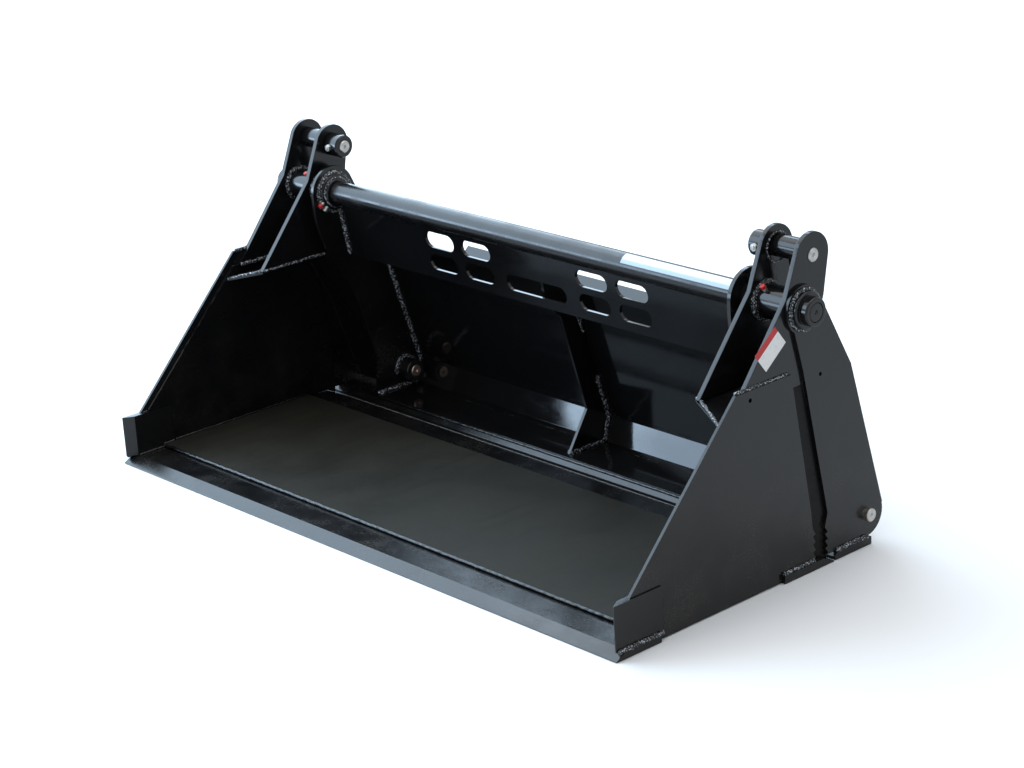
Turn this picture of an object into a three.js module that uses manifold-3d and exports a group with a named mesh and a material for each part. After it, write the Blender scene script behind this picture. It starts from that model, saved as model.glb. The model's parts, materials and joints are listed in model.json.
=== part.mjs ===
// Combination ("4-in-1") bucket for a skid steer loader, in millimetres, +Z up.
// A clam (the front jaw, with the floor and the cutting edge) hangs on two pivot pins in a rear
// frame (the moldboard), and two short hydraulic cylinders inside the ends of the frame swing it.
// X runs along the cutting edge, the mouth faces -Y and the floor lies on Z = 0.
// "right" is +X and "left" is -X, as seen by someone who stands in front of the mouth.
import * as THREE from "three";
import { mergeVertices } from "three/addons/utils/BufferGeometryUtils.js";
import Module from "manifold-3d";

const wasm = await Module();
wasm.setup();

// ---- driving dimensions ----
const GAP = 0.3;                 // what welded and touching pieces keep between them
const HALF_EDGE = 914.5;         // half the length of the base cutting edge (72 in overall)
const BUCKET_REAR = 934;         // rearmost point, from the tip of the cutting edge
const EDGE_THICK = 19;
const SHEET = 8;                 // floor and moldboard sheet

const PLATE_OUT = 905;           // outer face of every end plate
const PLATE_THICK = 8;
const LINER_THICK = 6;
const CUTTER_OUT = 909.5;
const CUTTER_THICK = 20;
const LUG_THICK = 12.7;
const INNER_LUG_OUT = 792.7;     // outer face of the inner lug
const INNER_PLATE_IN = 738;      // inboard face of the frame's inner plate
const INNER_PLATE_THICK = 10;

const PIVOT = { y: 624, z: 621 };        // clam pivot
const TOP_PIN = { y: 665, z: 734 };      // cylinder pin on the clam
const LOWER_PIN = { y: 820, z: 76 };     // cylinder pin on the frame

const PIVOT_PIN_R = 22;
const CYLINDER_PIN_R = 16;
const BORE_PLAY = 0.4;           // radial play of a pin in its bore
const EYE_PLAY = 5.6;            // radial play of the rod eye, the linkage's open pivot
const TUBE_R = 30;               // cross tube, 60 mm outside
const TUBE_WALL = 5;
const TUBE_HALF = INNER_PLATE_IN - 21.3;

const CYLINDER_LEAN = THREE.MathUtils.degToRad(12.955);  // forward, with the clam shut
const CYLINDER_LENGTH = 679;     // lower pin to rod eye, with the clam shut
const BARREL_R = 31.5;
const BARREL_BORE = 25.4;
const BARREL_TOP = 430;          // from the lower pin
const GLAND_LENGTH = 22;
const ROD_R = 15.9;

const PLATE_IN = PLATE_OUT - PLATE_THICK;
const LINER_OUT = PLATE_IN - GAP;
const LINER_IN = LINER_OUT - LINER_THICK;
const LUG_IN = LINER_OUT - LUG_THICK;
const INNER_LUG_IN = INNER_LUG_OUT - LUG_THICK;
const INNER_PLATE_OUT = INNER_PLATE_IN + INNER_PLATE_THICK;
const BAY_MIDDLE = (INNER_LUG_OUT + LUG_IN) / 2;
const ROUND = 48;                // segments of a round piece

// ---- materials ----
const paint = new THREE.MeshStandardMaterial({ color: 0x101114, roughness: 0.25, metalness: 0.0 });
const floorPaint = new THREE.MeshStandardMaterial({ color: 0x2a2a24, roughness: 0.5, metalness: 0.0 });
const zinc = new THREE.MeshStandardMaterial({ color: 0xb8b2ae, roughness: 0.35, metalness: 0.9 });
const copperPin = new THREE.MeshStandardMaterial({ color: 0xb98a6c, roughness: 0.4, metalness: 0.9 });
const chrome = new THREE.MeshStandardMaterial({ color: 0xd8dadd, roughness: 0.1, metalness: 1.0 });

// ---- helpers ----
const PROFILE_TO_WORLD = new THREE.Matrix4().makeBasis(
  new THREE.Vector3(0, 1, 0), new THREE.Vector3(0, 0, 1), new THREE.Vector3(1, 0, 0));
const LATHE_TO_X = new THREE.Matrix4().makeBasis(
  new THREE.Vector3(0, 1, 0), new THREE.Vector3(1, 0, 0), new THREE.Vector3(0, 0, -1));

function toSolid(geometry) {
  const bare = geometry.clone();
  bare.deleteAttribute("normal");
  bare.deleteAttribute("uv");
  const merged = mergeVertices(bare, 1e-4);
  return new wasm.Manifold(new wasm.Mesh({
    numProp: 3,
    vertProperties: new Float32Array(merged.attributes.position.array),
    triVerts: new Uint32Array(merged.index.array),
  }));
}

function toGeometry(solid) {
  const mesh = solid.getMesh();
  const geometry = new THREE.BufferGeometry();
  geometry.setAttribute("position", new THREE.BufferAttribute(new Float32Array(mesh.vertProperties), 3));
  geometry.setIndex(new THREE.BufferAttribute(new Uint32Array(mesh.triVerts), 1));
  return geometry;
}

function cut(geometry, ...tools) {
  return toGeometry(tools.reduce((solid, tool) => solid.subtract(toSolid(tool)), toSolid(geometry)));
}

function join(...pieces) {
  return toGeometry(pieces.map(toSolid).reduce((sum, piece) => sum.add(piece)));
}

// An outline in (y, z) given a thickness along X, from x0 to x1.
function slab(shape, x0, x1) {
  const geometry = new THREE.ExtrudeGeometry(shape, { depth: x1 - x0, bevelEnabled: false, curveSegments: 20 });
  geometry.applyMatrix4(PROFILE_TO_WORLD);
  return geometry.translate(x0, 0, 0);
}

function outline(points) {
  return new THREE.Shape(points.map(([y, z]) => new THREE.Vector2(y, z)));
}

// A bent sheet: the inner face's corners, thickened to the side on the right of the path.
function bentSheet(points, thick) {
  const offset = points.map((point, i) => {
    const before = points[Math.max(i - 1, 0)];
    const after = points[Math.min(i + 1, points.length - 1)];
    const unit = (a, b) => new THREE.Vector2(b[0] - a[0], b[1] - a[1]).normalize();
    const first = i > 0 ? unit(before, point) : unit(point, after);
    const second = i < points.length - 1 ? unit(point, after) : first;
    const normal = first.clone().add(second).normalize();
    const reach = thick / normal.dot(first);
    return [point[0] + normal.y * reach, point[1] - normal.x * reach];
  });
  return outline([...points, ...offset.reverse()]);
}

// A turned piece along X: [radius, x] corners around (y, z), closed on the axis or on itself.
function turned(corners, centre, segments = ROUND) {
  const profile = corners.map(([radius, x]) => new THREE.Vector2(radius, x));
  const geometry = new THREE.LatheGeometry(profile, segments);
  geometry.applyMatrix4(LATHE_TO_X);
  return geometry.translate(0, centre.y, centre.z);
}

function rod(radius, x0, x1, centre, chamfer = 0) {
  const shoulder = chamfer > 0
    ? [[radius - chamfer, x0], [radius, x0 + chamfer], [radius, x1 - chamfer], [radius - chamfer, x1]]
    : [[radius, x0], [radius, x1]];
  return turned([[0, x0], ...shoulder, [0, x1]], centre);
}

// A tube along X. Its profile runs up the outside and down the bore.
function ring(outer, inner, x0, x1, centre, chamfer = 0) {
  return turned([
    [inner, x0], [outer - chamfer, x0], [outer, x0 + chamfer],
    [outer, x1 - chamfer], [outer - chamfer, x1], [inner, x1], [inner, x0],
  ].filter((corner, i, all) => i === 0 || corner[0] !== all[i - 1][0] || corner[1] !== all[i - 1][1]), centre);
}

function box(x0, x1, y0, y1, z0, z1) {
  return new THREE.BoxGeometry(x1 - x0, y1 - y0, z1 - z0)
    .translate((x0 + x1) / 2, (y0 + y1) / 2, (z0 + z1) / 2);
}

const part = new THREE.Group();
const bucket = new THREE.Group();
bucket.position.y = -BUCKET_REAR / 2;
part.add(bucket);

function add(name, geometry, material = paint) {
  const mesh = new THREE.Mesh(geometry, material);
  mesh.name = name;
  bucket.add(mesh);
}

function mirrored(geometry) {
  const copy = geometry.index ? geometry.clone() : mergeVertices(geometry.clone());
  copy.scale(-1, 1, 1);
  const index = copy.index.array;
  for (let i = 0; i < index.length; i += 3) [index[i], index[i + 1]] = [index[i + 1], index[i]];
  return copy;
}

// The piece at the right end, and its mirror image at the left.
function addPair(name, geometry, material = paint) {
  add(`${name}_right`, geometry, material);
  add(`${name}_left`, mirrored(geometry), material);
}

// ---- clam: floor and cutting edges ----
const EDGE_BEVEL = 31;
const EDGE_NOSE = 2.5;
const FRONT_EDGE_REAR = 137;
const REAR_EDGE_FRONT = 530;
const CLAM_REAR = 697;
const REAR_BEVEL = 36;
const FLOOR_FRONT = 114;
const FLOOR_REAR = 594;

function baseEdge() {
  return slab(outline([[0, 0], [FRONT_EDGE_REAR, 0], [FRONT_EDGE_REAR, EDGE_THICK],
    [EDGE_BEVEL, EDGE_THICK], [0, EDGE_NOSE]]), -HALF_EDGE, HALF_EDGE);
}

function clamRearEdge() {
  return slab(outline([[REAR_EDGE_FRONT, 0], [CLAM_REAR, 0], [CLAM_REAR, EDGE_NOSE],
    [CLAM_REAR - REAR_BEVEL, EDGE_THICK], [REAR_EDGE_FRONT, EDGE_THICK]]), -HALF_EDGE, HALF_EDGE);
}

function clamFloor() {
  const low = EDGE_THICK + GAP;
  const half = CUTTER_OUT - CUTTER_THICK - GAP;
  return box(-half, half, FLOOR_FRONT, FLOOR_REAR, low, low + SHEET);
}

// ---- clam: side cutters, side plates and liners ----
const CUTTER = { front: 5, rear: 148, low: EDGE_THICK + GAP, top: 127, bevel: 26 };
const LEDGE = 483;               // top of the clam's side plate
const SIDE_FRONT_LOW = 55;       // front edge of the side plate, where it leaves the cutter
const SIDE_FRONT_TOP = 399;
const SIDE_REAR_TOP = 577;
const SIDE_BEND = { y: 632, z: 140 };
const TEETH_TOP = { y: 636, z: 97 };
const TEETH = 4;
const TOOTH_DEPTH = 9;

function sideCutter() {
  const inner = CUTTER_OUT - CUTTER_THICK;
  const plan = outline([[CUTTER.front, CUTTER_OUT - 4], [CUTTER.front + CUTTER.bevel, inner],
    [CUTTER.rear, inner], [CUTTER.rear, CUTTER_OUT], [CUTTER.front, CUTTER_OUT]]);
  const geometry = new THREE.ExtrudeGeometry(plan, { depth: CUTTER.top - CUTTER.low, bevelEnabled: false });
  geometry.applyMatrix4(new THREE.Matrix4().makeBasis(
    new THREE.Vector3(0, 1, 0), new THREE.Vector3(1, 0, 0), new THREE.Vector3(0, 0, -1)));
  return geometry.translate(0, 0, CUTTER.top);
}

// A saw-toothed line from the top of the teeth down to z = low; a tooth points along +Y or -Y.
function teeth(top, low, depth) {
  const pitch = (top.z - low) / TEETH;
  const points = [];
  for (let i = 0; i < TEETH; i += 1) {
    points.push([top.y, top.z - i * pitch]);
    points.push([top.y + depth, top.z - (i + 0.75) * pitch]);
  }
  points.push([top.y, low]);
  return points;
}

function clamSidePlate() {
  const low = EDGE_THICK + GAP;
  const sill = 2;
  const shape = outline([
    [SIDE_FRONT_LOW, CUTTER.top + GAP], [CUTTER.rear + GAP, CUTTER.top + GAP], [CUTTER.rear + GAP, sill],
    [REAR_EDGE_FRONT - GAP, sill], [REAR_EDGE_FRONT - GAP, low],
    ...teeth(TEETH_TOP, low, TOOTH_DEPTH).reverse(),
    [SIDE_BEND.y, SIDE_BEND.z], [SIDE_REAR_TOP, LEDGE], [SIDE_FRONT_TOP, LEDGE],
  ]);
  return cut(slab(shape, PLATE_IN, PLATE_OUT), rod(5, PLATE_IN - 5, PLATE_OUT + 5, { y: 444, z: 461 }));
}

const LINER_TOP = 446;
const LINER_SETBACK = 20;
const LINER_REAR = 690;          // its foot follows the bevel of the rear cutting edge down to here

// The liner runs on behind the frame's outer plate, so that nothing spills through the joint.
function sideLiner() {
  const slope = (SIDE_FRONT_TOP - SIDE_FRONT_LOW) / (LEDGE - CUTTER.top);
  const low = EDGE_THICK + GAP;
  const footTop = EDGE_NOSE + (CLAM_REAR - LINER_REAR) * (EDGE_THICK - EDGE_NOSE) / REAR_BEVEL;
  const front = (z) => SIDE_FRONT_LOW + LINER_SETBACK + (z - CUTTER.top) * slope;
  const shape = outline([[front(CUTTER.top), CUTTER.top + GAP], [CUTTER.rear + GAP, CUTTER.top + GAP],
    [CUTTER.rear + GAP, low], [CLAM_REAR - REAR_BEVEL, low + GAP], [LINER_REAR, footTop + 2 * GAP],
    [692, 140], [674, 300], [634, 392], [621, LINER_TOP], [front(LINER_TOP), LINER_TOP]]);
  return slab(shape, LINER_IN, LINER_OUT);
}

// ---- clam: lugs, shelves, pivot tubes and cylinder pins ----
const LUG_TOP_R = 52;
const LUG_HUB_R = 64;
const LUG_BEND = { y: 575, z: 652 };
const LUG_BOTTOM = LINER_TOP + GAP;
const CLAM_TUBE_R = 40;

function lugShape(frontLow, rearEdge, rearLow) {
  const shape = new THREE.Shape();
  shape.moveTo(frontLow.y, frontLow.z);
  shape.lineTo(LUG_BEND.y, LUG_BEND.z);
  const lean = Math.atan2(99, 54);                     // slope of the upper front edge
  const front = { y: TOP_PIN.y - LUG_TOP_R * Math.sin(lean), z: TOP_PIN.z + LUG_TOP_R * Math.cos(lean) };
  shape.lineTo(front.y, front.z);
  shape.absarc(TOP_PIN.y, TOP_PIN.z, LUG_TOP_R, Math.PI / 2 + lean, -0.12, true);
  rearEdge.forEach(([y, z]) => shape.lineTo(y, z));
  shape.absarc(PIVOT.y, PIVOT.z, LUG_HUB_R, -0.45, -1.2, true);
  shape.lineTo(rearLow.y, rearLow.z);
  return shape;
}

function lug(x0, x1, lowerCorners, rearEdge, pivotHole) {
  const [frontLow, rearLow] = lowerCorners.map((y) => ({ y, z: LUG_BOTTOM }));
  return cut(slab(lugShape(frontLow, rearEdge, rearLow), x0, x1),
    rod(pivotHole, x0 - 5, x1 + 5, PIVOT),
    rod(CYLINDER_PIN_R + BORE_PLAY, x0 - 5, x1 + 5, TOP_PIN));
}

// The sloped plate that closes the underside between the inner lug and the side liner.
function lugShelf() {
  const drop = 30;
  const thick = 6;
  const inner = INNER_LUG_IN;
  const outer = LINER_IN - GAP;
  const high = LUG_BOTTOM - GAP - 0.5;
  const corner = (x, y, z) => new THREE.Vector3(x, y, z);
  const top = [corner(inner, 402, high), corner(outer, 362, high - drop),
    corner(outer, 560, high - drop), corner(inner, 575, high)];
  return prism(top, thick);
}

// A flat four-cornered plate, its upper face given, thickened straight down.
function prism(top, thick) {
  const corners = [...top, ...top.map((c) => c.clone().setZ(c.z - thick))];
  const faces = [[0, 1, 2], [0, 2, 3], [6, 5, 4], [7, 6, 4],
    [0, 4, 5], [0, 5, 1], [1, 5, 6], [1, 6, 2], [2, 6, 7], [2, 7, 3], [3, 7, 4], [3, 4, 0]];
  const geometry = new THREE.BufferGeometry().setFromPoints(corners);
  geometry.setIndex(faces.flat());
  return geometry;
}

const TOP_PIN_END = 726;         // inboard end of the cylinder pin
const COLLAR = { r: 30, x0: 730, x1: INNER_LUG_IN - GAP, bolt: 755 };

function acrossY(radius, length, y, x, z) {
  const geometry = new THREE.CylinderGeometry(radius, radius, length, 16);
  return geometry.translate(x, y, z);
}

function topPin() {
  return cut(rod(CYLINDER_PIN_R, TOP_PIN_END, PLATE_OUT - 5, TOP_PIN, 2),
    acrossY(5.4, 80, TOP_PIN.y, COLLAR.bolt, TOP_PIN.z));
}

function pinCollar() {
  return cut(ring(COLLAR.r, CYLINDER_PIN_R + BORE_PLAY, COLLAR.x0, COLLAR.x1, TOP_PIN, 3),
    acrossY(5.4, 80, TOP_PIN.y, COLLAR.bolt, TOP_PIN.z));
}

function collarBolt() {
  const shank = acrossY(5, 78, TOP_PIN.y - 2, COLLAR.bolt, TOP_PIN.z);
  const hex = (y, length) => new THREE.CylinderGeometry(9.5, 9.5, length, 6).translate(COLLAR.bolt, y, TOP_PIN.z);
  return join(shank, hex(TOP_PIN.y - COLLAR.r - 4.5, 8), hex(TOP_PIN.y + COLLAR.r + 5, 9));
}

// ---- rear frame: end plates ----
const FRAME_REAR_TOP = { y: 776, z: 455 };
const FRAME_REAR_LOW = { y: 876, z: 90 };
const OUTER_TOP_R = 56;
const INNER_TOP_R = 68;
const HEEL_R = 56;

function outerPlate() {
  const low = EDGE_THICK + GAP;
  const shape = new THREE.Shape();
  shape.moveTo(HEEL_R + LOWER_PIN.y - 66, low);
  teeth({ y: 677, z: 88 }, low, TOOTH_DEPTH).reverse().forEach(([y, z]) => shape.lineTo(y, z));
  shape.lineTo(687, 121);
  shape.lineTo(617, 478);
  const start = Math.atan2(575 - PIVOT.z, 591 - PIVOT.y) + 2 * Math.PI;
  shape.absarc(PIVOT.y, PIVOT.z, OUTER_TOP_R, start, 0.49, true);
  shape.lineTo(FRAME_REAR_TOP.y, FRAME_REAR_TOP.z);
  shape.lineTo(FRAME_REAR_LOW.y, FRAME_REAR_LOW.z);
  shape.absarc(LOWER_PIN.y, LOWER_PIN.z, HEEL_R, 0.2, -Math.PI / 2, true);
  return cut(slab(shape, PLATE_IN, PLATE_OUT),
    rod(PIVOT_PIN_R + BORE_PLAY, PLATE_IN - 5, PLATE_OUT + 5, PIVOT),
    rod(CYLINDER_PIN_R + BORE_PLAY, PLATE_IN - 5, PLATE_OUT + 5, LOWER_PIN),
    rod(5, PLATE_IN - 5, PLATE_OUT + 5, { y: 672, z: 458 }));
}

function innerPlate() {
  const low = EDGE_THICK + GAP;
  const shape = new THREE.Shape();
  shape.moveTo(850, low);
  shape.lineTo(716, low);
  shape.lineTo(729, 128);
  shape.lineTo(673, 312);
  shape.quadraticCurveTo(660, 358, 616, 419);
  shape.quadraticCurveTo(560, 500, 556, 596);
  shape.absarc(PIVOT.y, PIVOT.z, INNER_TOP_R, Math.PI, 0.49, true);
  shape.lineTo(FRAME_REAR_TOP.y, FRAME_REAR_TOP.z);
  shape.lineTo(884, 90);
  return cut(slab(shape, INNER_PLATE_IN, INNER_PLATE_OUT),
    rod(PIVOT_PIN_R + BORE_PLAY, INNER_PLATE_IN - 5, INNER_PLATE_OUT + 5, PIVOT),
    rod(CYLINDER_PIN_R + BORE_PLAY, INNER_PLATE_IN - 5, INNER_PLATE_OUT + 5, LOWER_PIN));
}

// The front cover of the bay in which a cylinder stands.
function cylinderCover() {
  const shape = bentSheet([[646, 480], [646, 404], [702, 285], [789, EDGE_THICK + 9]], -SHEET);
  return slab(shape, INNER_PLATE_OUT + GAP, PLATE_IN - GAP);
}

// ---- rear frame: moldboard ----
const BOARD_HALF = INNER_PLATE_IN - GAP;

function backPlate() {
  const low = EDGE_THICK + GAP + SHEET;
  return slab(bentSheet([[765, 470], [877, 92], [856, low], [714, low]], -SHEET), -BOARD_HALF, BOARD_HALF);
}

function frameRearEdge() {
  const bevel = 10;
  const front = 702;
  return slab(outline([[front, 0], [829, 0], [829, EDGE_THICK], [front + bevel, EDGE_THICK],
    [front, EDGE_THICK - bevel]]), -HALF_EDGE + 2, HALF_EDGE - 2);
}

const SLOT = { half: 54, r: 22, columns: [207.5, 345], rows: [547.5, 485.3], longHalf: 108 };
const SLOT_PLATE = { top: { y: 638, z: 590.5 }, low: { y: 664, z: 438 }, thick: 8 };

// One cutter for an obround slot, run straight through along Y.
function slotCutter(x, z, half) {
  const shape = new THREE.Shape();
  const straight = half - SLOT.r;
  shape.moveTo(x - straight, z - SLOT.r);
  shape.lineTo(x + straight, z - SLOT.r);
  shape.absarc(x + straight, z, SLOT.r, -Math.PI / 2, Math.PI / 2, false);
  shape.lineTo(x - straight, z + SLOT.r);
  shape.absarc(x - straight, z, SLOT.r, Math.PI / 2, 1.5 * Math.PI, false);
  const geometry = new THREE.ExtrudeGeometry(shape, { depth: 120, bevelEnabled: false, curveSegments: 10 });
  return geometry.rotateX(Math.PI / 2).translate(0, 710, 0);
}

function slotPlate() {
  const { top, low, thick } = SLOT_PLATE;
  const sheet = slab(bentSheet([[top.y, top.z], [low.y, low.z]], -thick), -BOARD_HALF, BOARD_HALF);
  const slots = [slotCutter(0, SLOT.rows[1], SLOT.longHalf)];
  for (const x of SLOT.columns) {
    for (const z of SLOT.rows) slots.push(slotCutter(x, z, SLOT.half), slotCutter(-x, z, SLOT.half));
  }
  return cut(sheet, ...slots, rod(TUBE_R + GAP, -BOARD_HALF - 5, BOARD_HALF + 5, PIVOT),
    rod(48 + GAP, BOARD_HALF - 22, BOARD_HALF + 5, PIVOT), rod(48 + GAP, -BOARD_HALF - 5, -BOARD_HALF + 22, PIVOT));
}

function crossTube() {
  return ring(TUBE_R, TUBE_R - TUBE_WALL, -TUBE_HALF, TUBE_HALF, PIVOT);
}

function centreGusset() {
  const half = 5;
  const floorTop = EDGE_THICK + 2 * GAP + SHEET;
  return slab(outline([[664, 545], [684, 440], [729, 394], [801, 130], [733, floorTop], [853.5, floorTop],
    [874, 92], [764, 464], [720, 545]]), -half, half);
}

// ---- rear frame: pivot pins, bosses and lower cylinder pins ----
function outerBoss() {
  const bore = PIVOT_PIN_R + BORE_PLAY;
  const x0 = PLATE_OUT + GAP;
  return turned([[bore, x0], [43, x0], [44, x0 + 2], [44, x0 + 12], [41, x0 + 15], [33.5, x0 + 15],
    [33.5, x0 + 32], [31, x0 + 35], [bore, x0 + 35], [bore, x0]], PIVOT);
}

function innerBoss() {
  const bore = PIVOT_PIN_R + BORE_PLAY;
  const x1 = INNER_PLATE_IN - GAP;
  return turned([[bore, x1 - 20.5], [36, x1 - 20.5], [38, x1 - 18.5], [38, x1 - 12], [46, x1 - 12], [48, x1 - 10],
    [48, x1], [bore, x1], [bore, x1 - 20.5]], PIVOT);
}

function pivotPin() {
  return rod(PIVOT_PIN_R, INNER_PLATE_IN - 16, PLATE_OUT + 35.5, PIVOT, 2);
}

// The clam's pivot tube, which turns on the pivot pin and carries both lugs.
function pivotTube() {
  return ring(CLAM_TUBE_R, PIVOT_PIN_R + BORE_PLAY, INNER_PLATE_OUT + 1, LUG_IN - GAP, PIVOT);
}

const KEEPER = { y: 853, z: 51, reach: 7.5 };   // the lower boss's tab takes a keeper bolt here

function lowerBoss() {
  const x0 = INNER_PLATE_IN - 44;
  const x1 = INNER_PLATE_IN - GAP;
  const bossRing = rod(30, x0, x1, LOWER_PIN, 2);
  const tab = box(x1 - 10, x1, LOWER_PIN.y + 10, KEEPER.y + KEEPER.reach, KEEPER.z - 8, LOWER_PIN.z + 6);
  return cut(join(bossRing, tab),
    rod(CYLINDER_PIN_R + BORE_PLAY, x0 - 5, x1 + 5, LOWER_PIN),
    rod(5.4, x0 - 5, x1 + 5, KEEPER));
}

function keeperBolt() {
  const x1 = INNER_PLATE_IN - GAP;
  const face = x1 - 10 - GAP;
  const washer = rod(10, face - 3, face, KEEPER);
  const head = [[0, face - 10], [8.5, face - 10], [8.5, face - 2], [0, face - 2]];
  return join(rod(5, x1 - 16, x1 - 1, KEEPER), washer, turned(head, KEEPER, 6));
}

function lowerPin() {
  return rod(CYLINDER_PIN_R, INNER_PLATE_IN - 48, PLATE_OUT + 17, LOWER_PIN, 2);
}

// ---- hydraulic cylinders ----
// Built standing on the lower pin along +Z at the middle of the bay, then leaned forward.
const CYLINDER_WIDTH = LUG_IN - INNER_LUG_OUT - 4;
const RAM = { z: LOWER_PIN.z, y: LOWER_PIN.y };

function stood(geometry) {
  return geometry.rotateX(CYLINDER_LEAN).translate(BAY_MIDDLE, RAM.y, RAM.z);
}

function upright(corners) {
  const profile = corners.map(([radius, height]) => new THREE.Vector2(radius, height));
  return new THREE.LatheGeometry(profile, 32).rotateX(Math.PI / 2);
}

function crossEye(outer, bore, height) {
  const half = CYLINDER_WIDTH / 2;
  return ring(outer, bore, -half, half, { y: 0, z: height });
}

function barrel() {
  const foot = 27;
  const body = upright([[0, 12], [BARREL_R, 12], [BARREL_R, BARREL_TOP], [BARREL_BORE, BARREL_TOP],
    [BARREL_BORE, foot + 12], [0, foot + 12]]);
  const eye = rod(foot, -CYLINDER_WIDTH / 2, CYLINDER_WIDTH / 2, { y: 0, z: 0 });
  const port = (height) => new THREE.CylinderGeometry(11, 11, 44, 12).translate(0, 22, height);
  const bore = rod(CYLINDER_PIN_R + BORE_PLAY, -CYLINDER_WIDTH, CYLINDER_WIDTH, { y: 0, z: 0 });
  const cavity = upright([[0, foot + 12], [BARREL_BORE, foot + 12], [BARREL_BORE, BARREL_TOP + 5], [0, BARREL_TOP + 5]]);
  return stood(cut(join(body, eye, port(62), port(BARREL_TOP - 34)), bore, cavity));
}

function gland() {
  const z0 = BARREL_TOP + GAP;
  return stood(upright([[ROD_R + BORE_PLAY, z0], [BARREL_R + 1.5, z0], [BARREL_R + 1.5, z0 + GLAND_LENGTH - 4],
    [BARREL_R - 2, z0 + GLAND_LENGTH], [ROD_R + BORE_PLAY, z0 + GLAND_LENGTH], [ROD_R + BORE_PLAY, z0]]));
}

const EYE_BORE = CYLINDER_PIN_R + EYE_PLAY;
const EYE_R = EYE_BORE + 4.6;
const PISTON = { low: 180, top: 215, r: BARREL_BORE - BORE_PLAY };

function pistonRod() {
  const end = CYLINDER_LENGTH - EYE_R - GAP;
  return stood(upright([[0, PISTON.low], [PISTON.r, PISTON.low], [PISTON.r, PISTON.top], [ROD_R, PISTON.top],
    [ROD_R, end], [0, end]]));
}

function rodEye() {
  return stood(crossEye(EYE_R, EYE_BORE, CYLINDER_LENGTH));
}

// ---- quick-attach mount on the back ----
const MOUNT = { half: 565, y0: 890, thick: 10, low: 44, top: 388 };

function mountPlate() {
  const window = (x) => box(x - 150, x + 150, MOUNT.y0 - 5, MOUNT.y0 + MOUNT.thick + 5, 150, 320);
  const plate = box(-MOUNT.half, MOUNT.half, MOUNT.y0, MOUNT.y0 + MOUNT.thick, MOUNT.low, MOUNT.top);
  return cut(plate, window(-300), window(300));
}

// The sloped lip under which the loader's attach plate hooks.
function mountLip() {
  const y = MOUNT.y0;
  const z = MOUNT.top + GAP;
  return slab(outline([[y, z], [y + 10, z], [y + 44, z + 34], [y + 37, z + 41], [y, z + 9]]), -MOUNT.half, MOUNT.half);
}

// The sloped foot with the two slots that the loader's wedges pass through.
function mountFoot() {
  const y = MOUNT.y0;
  const z = MOUNT.low - GAP;
  const foot = slab(outline([[y, z], [y, z - 12], [y + 30, z - 38], [y + 40, z - 38], [y + 40, z - 30],
    [y + 10, z]]), -MOUNT.half, MOUNT.half);
  const wedge = (x) => box(x - 32, x + 32, y + 8, y + 34, z - 60, z + 20);
  return cut(foot, wedge(-483), wedge(483));
}

function mountRib() {
  const x1 = MOUNT.half;
  return slab(outline([[MOUNT.y0 - GAP, 108], [MOUNT.y0 - GAP, MOUNT.top], [806, MOUNT.top], [798, 388], [884, 108]]),
    x1 - 10, x1);
}

// ---- assembly ----
add("base_edge", baseEdge());
add("clam_rear_edge", clamRearEdge());
add("clam_floor", clamFloor(), floorPaint);
addPair("side_cutter", sideCutter());
addPair("clam_side_plate", clamSidePlate());
addPair("side_liner", sideLiner());
addPair("outer_lug", lug(LUG_IN, LINER_OUT, [406, 618], [[698, 633]], PIVOT_PIN_R + 1));
addPair("inner_lug", lug(INNER_LUG_IN, INNER_LUG_OUT, [402, 618], [[707, 690], [700, 650]], CLAM_TUBE_R + GAP));
addPair("lug_shelf", lugShelf());
addPair("pivot_tube", pivotTube());
addPair("top_pin", topPin(), zinc);
addPair("pin_collar", pinCollar());
addPair("collar_bolt", collarBolt(), zinc);

add("back_plate", backPlate());
add("slot_plate", slotPlate());
add("cross_tube", crossTube());
add("frame_rear_edge", frameRearEdge());
add("centre_gusset", centreGusset());
addPair("frame_outer_plate", outerPlate());
addPair("frame_inner_plate", innerPlate());
addPair("cylinder_cover", cylinderCover());
addPair("outer_boss", outerBoss());
addPair("inner_boss", innerBoss());
addPair("pivot_pin", pivotPin());
addPair("lower_boss", lowerBoss());
addPair("keeper_bolt", keeperBolt(), zinc);
addPair("lower_pin", lowerPin(), copperPin);
add("mount_plate", mountPlate());
add("mount_lip", mountLip());
add("mount_foot", mountFoot());
addPair("mount_rib", mountRib());

addPair("cylinder_barrel", barrel());
addPair("cylinder_gland", gland());
addPair("cylinder_rod", pistonRod(), chrome);
addPair("rod_eye", rodEye());

export default part;
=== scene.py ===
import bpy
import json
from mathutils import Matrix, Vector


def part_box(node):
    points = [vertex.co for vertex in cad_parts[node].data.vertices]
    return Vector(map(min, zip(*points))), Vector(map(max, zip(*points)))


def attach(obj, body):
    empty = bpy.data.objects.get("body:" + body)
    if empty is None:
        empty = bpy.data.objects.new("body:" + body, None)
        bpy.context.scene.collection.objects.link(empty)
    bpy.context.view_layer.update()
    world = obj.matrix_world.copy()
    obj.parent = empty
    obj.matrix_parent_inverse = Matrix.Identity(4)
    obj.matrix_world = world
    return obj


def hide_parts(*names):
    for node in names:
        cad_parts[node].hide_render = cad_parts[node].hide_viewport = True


bl_info = {
    "name": "Combination Bucket",
    "version": (1, 0, 0),
    "blender": (4, 5, 0),
    "location": "View3D > Sidebar > Bucket",
    "description": "Finishes a skid steer combination bucket: enamel, weld beads, pins, labels and a studio",
    "category": "Object",
}

import json
import math

import bmesh
import bpy
from bpy.props import FloatProperty, FloatVectorProperty, PointerProperty
from mathutils import Matrix, Vector, noise

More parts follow.
